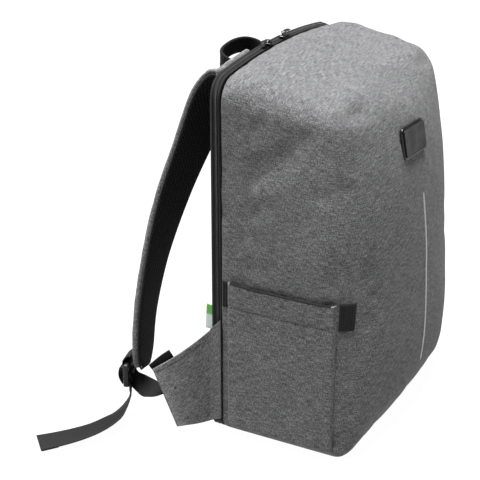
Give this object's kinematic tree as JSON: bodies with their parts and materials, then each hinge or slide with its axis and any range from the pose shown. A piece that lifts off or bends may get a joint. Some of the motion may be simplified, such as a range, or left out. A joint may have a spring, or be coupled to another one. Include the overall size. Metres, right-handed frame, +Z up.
{
  "type": "laptop backpack",
  "caption": "Soft grey laptop backpack with a hinged zip-round back panel, side pockets, padded shoulder straps and a top handle.",
  "frame": {"origin": "centre of the flat base that the bag stands on", "axes": "+Z up, +Y towards the wearer's back, so the front of the bag faces -Y and the wearer's left side is -X"},
  "size_m": [0.5892, 0.3742, 0.4554],
  "materials": {
    "grey_cloth": "heathered grey woven polyester, matte",
    "black_mesh": "black air mesh, matte",
    "black_tape": "black coil zip tape, matte",
    "dark_lining": "dark plain-weave lining, matte",
    "dark_webbing": "ribbed dark grey webbing, matte",
    "reflective_tape": "pale grey retroreflective tape, satin",
    "black_plastic": "moulded black plastic, satin",
    "grey_plastic": "moulded dark grey plastic, satin",
    "dark_metal": "gunmetal die-cast, semi-gloss",
    "label_cloth": "plain woven tag, white with a green end"
  },
  "bodies": {
    "shell": {"outer_shell": "grey_cloth", "bottom_board": "dark_lining", "zipper_tape_outer": "black_tape", "hinge_binding": "black_tape", "reflective_strip": "reflective_tape", "badge_base": "black_plastic", "badge_plate": "grey_plastic", "pocket_gusset_front_left": "black_mesh", "pocket_gusset_front_right": "black_mesh", "pocket_gusset_back_left": "black_mesh", "pocket_gusset_back_right": "black_mesh"},
    "back_panel": {"back_panel": "grey_cloth", "back_padding": "black_mesh", "laptop_sleeve": "dark_lining", "zipper_tape_inner": "black_tape", "side_label": "label_cloth", "strap_anchor_left": "grey_cloth", "strap_anchor_right": "grey_cloth"},
    "carry_handle": {"carry_handle": "dark_webbing"},
    "strap_left": {"strap_pad_left": "grey_cloth", "strap_mesh_left": "black_mesh", "strap_loop_left": "dark_webbing", "ladder_lock_left": "black_plastic", "lower_webbing_left": "dark_webbing", "strap_wing_left": "grey_cloth", "wing_keeper_left": "dark_webbing"},
    "tail_left": {"webbing_tail_left": "dark_webbing"},
    "side_pocket_left": {"side_pocket_left": "grey_cloth"},
    "zip_slider_left": {"zip_slider_left": "dark_metal"},
    "zip_pull_left": {"zip_pull_left": "black_plastic"},
    "strap_right": {"strap_pad_right": "grey_cloth", "strap_mesh_right": "black_mesh", "strap_loop_right": "dark_webbing", "ladder_lock_right": "black_plastic", "lower_webbing_right": "dark_webbing", "strap_wing_right": "grey_cloth", "wing_keeper_right": "dark_webbing"},
    "tail_right": {"webbing_tail_right": "dark_webbing"},
    "side_pocket_right": {"side_pocket_right": "grey_cloth"},
    "zip_slider_right": {"zip_slider_right": "dark_metal"},
    "zip_pull_right": {"zip_pull_right": "black_plastic"}
  },
  "joints": [
    {"name": "back_panel_hinge", "type": "hinge", "parent": "shell", "child": "back_panel", "pos_m": [0, 0.0868, 0.004], "axis": [-1, 0, 0], "range_deg": [0, 90]},
    {"name": "carry_handle_swing", "type": "hinge", "parent": "back_panel", "child": "carry_handle", "pos_m": [0, 0.098, 0.406], "axis": [1, 0, 0], "range_deg": [0, 60]},
    {"name": "strap_left_swing", "type": "hinge", "parent": "back_panel", "child": "strap_left", "pos_m": [-0.15, 0.093, 0.082], "axis": [0.1944, 0.0282, 0.9805], "range_deg": [-10, 10]},
    {"name": "tail_left_lift", "type": "hinge", "parent": "strap_left", "child": "tail_left", "pos_m": [-0.161, 0.211, 0.039], "axis": [0.29, 0.957, 0], "range_deg": [0, 60]},
    {"name": "side_pocket_left_open", "type": "hinge", "parent": "shell", "child": "side_pocket_left", "pos_m": [-0.1523, 0, 0.012], "axis": [0, -1, 0], "range_deg": [0, 8], "stiffness_Nm_per_rad": 0.6, "springref_deg": -2.86},
    {"name": "zip_slider_left_travel", "type": "slide", "parent": "shell", "child": "zip_slider_left", "axis": [-1, 0, 0], "range_m": [-0.01, 0.04]},
    {"name": "zip_pull_left_flip", "type": "hinge", "parent": "zip_slider_left", "child": "zip_pull_left", "pos_m": [-0.026, 0.0831, 0.4548], "axis": [0, 1, 0], "range_deg": [0, 165]},
    {"name": "strap_right_swing", "type": "hinge", "parent": "back_panel", "child": "strap_right", "pos_m": [0.15, 0.093, 0.082], "axis": [0.1944, -0.0282, -0.9805], "range_deg": [-10, 10]},
    {"name": "tail_right_lift", "type": "hinge", "parent": "strap_right", "child": "tail_right", "pos_m": [0.161, 0.211, 0.039], "axis": [0.29, -0.957, 0], "range_deg": [0, 60]},
    {"name": "side_pocket_right_open", "type": "hinge", "parent": "shell", "child": "side_pocket_right", "pos_m": [0.1523, 0, 0.012], "axis": [0, 1, 0], "range_deg": [0, 8], "stiffness_Nm_per_rad": 0.6, "springref_deg": -2.86},
    {"name": "zip_slider_right_travel", "type": "slide", "parent": "shell", "child": "zip_slider_right", "axis": [1, 0, 0], "range_m": [-0.01, 0.04]},
    {"name": "zip_pull_right_flip", "type": "hinge", "parent": "zip_slider_right", "child": "zip_pull_right", "pos_m": [0.01, 0.0831, 0.4548], "axis": [0, -1, 0], "range_deg": [0, 165]}
  ]
}
